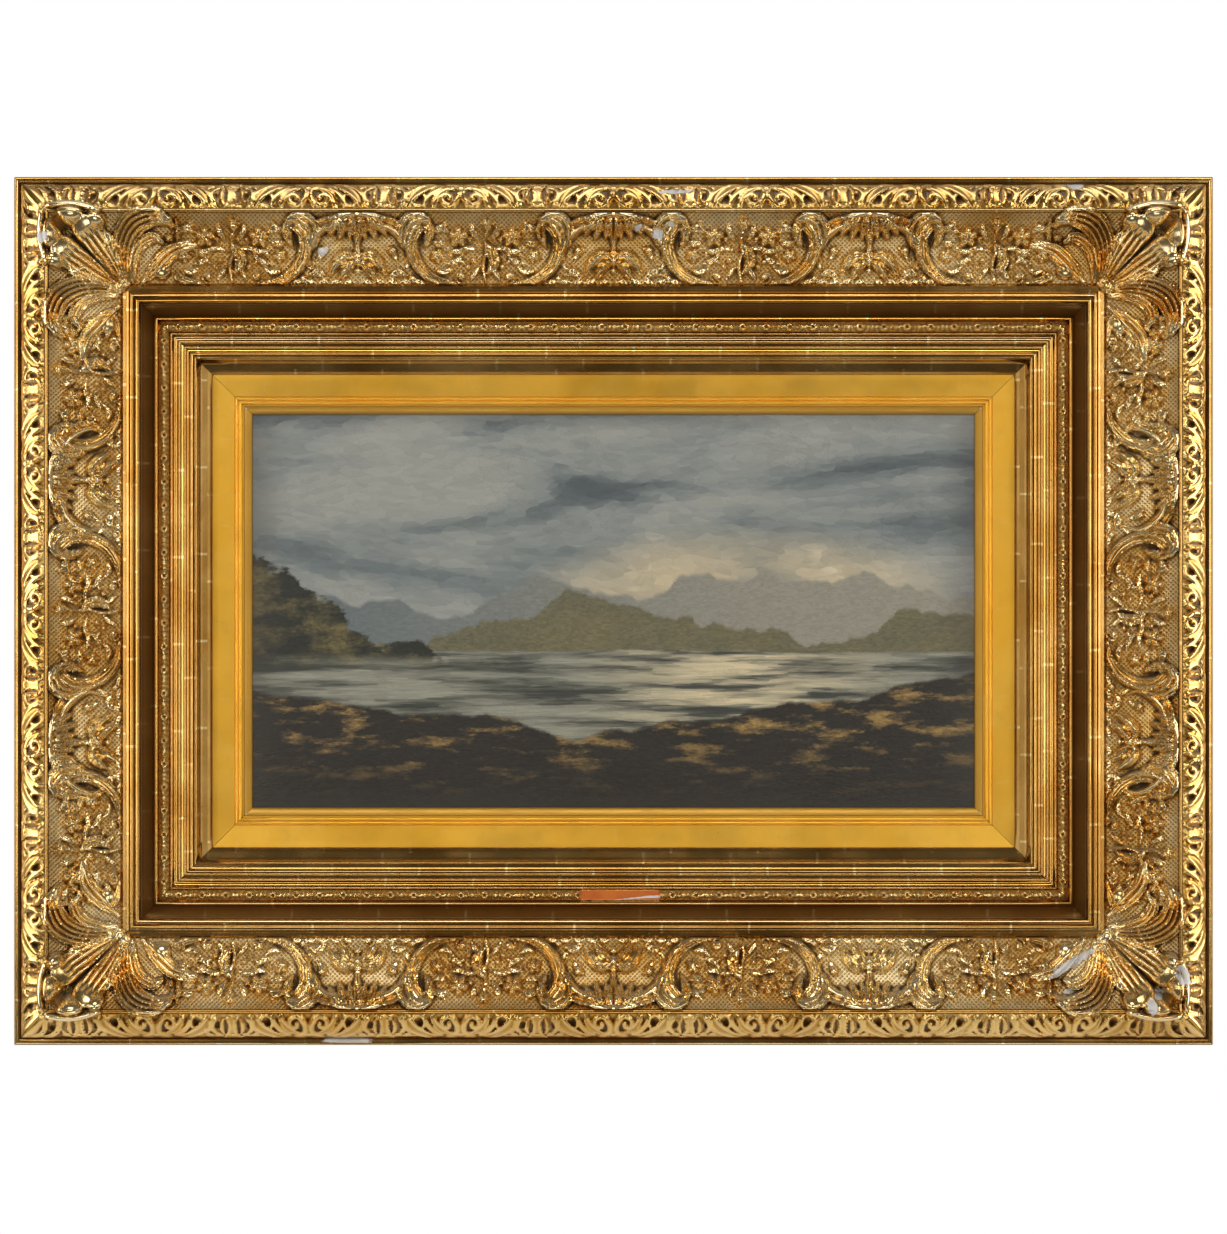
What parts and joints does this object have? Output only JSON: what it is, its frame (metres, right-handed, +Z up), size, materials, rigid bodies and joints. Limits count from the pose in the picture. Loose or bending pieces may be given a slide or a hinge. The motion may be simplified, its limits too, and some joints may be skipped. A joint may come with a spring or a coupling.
{
  "type": "framed oil painting",
  "caption": "Landscape oil painting on a stretched canvas in a deep gilt frame with scroll and leaf ornament, a stepped sight frame and a flat liner.",
  "frame": {"origin": "middle of the top rail's flat back strip, where the frame lies against the wall", "axes": "+X to the viewer's left-to-right along the frame's width, +Z up, +Y into the wall, so the picture faces -Y"},
  "size_m": [1.116, 0.1071, 0.808],
  "materials": {
    "gilt_ornament": "gold leaf over composition ornament and wood, rubbed and dusty",
    "gilt_moulding": "burnished and matt gold leaf over gesso and red bole",
    "gilt_liner": "matt gold leaf with a burnished sight edge",
    "picture": "oil paint on canvas under an old varnish",
    "bare_wood": "plain sawn softwood"
  },
  "bodies": {
    "root": {"outer_rail_top": "gilt_ornament", "outer_rail_right": "gilt_ornament", "outer_rail_bottom": "gilt_ornament", "outer_rail_left": "gilt_ornament", "corner_leaf_top_left": "gilt_ornament", "corner_leaf_top_right": "gilt_ornament", "corner_leaf_bottom_right": "gilt_ornament", "corner_leaf_bottom_left": "gilt_ornament", "sight_rail_top": "gilt_moulding", "sight_rail_right": "gilt_moulding", "sight_rail_bottom": "gilt_moulding", "sight_rail_left": "gilt_moulding", "liner_top": "gilt_liner", "liner_right": "gilt_liner", "liner_bottom": "gilt_liner", "liner_left": "gilt_liner", "canvas": "picture", "stretcher_top": "bare_wood", "stretcher_right": "bare_wood", "stretcher_bottom": "bare_wood", "stretcher_left": "bare_wood", "stretcher_crossbar": "bare_wood"}
  },
  "joints": []
}
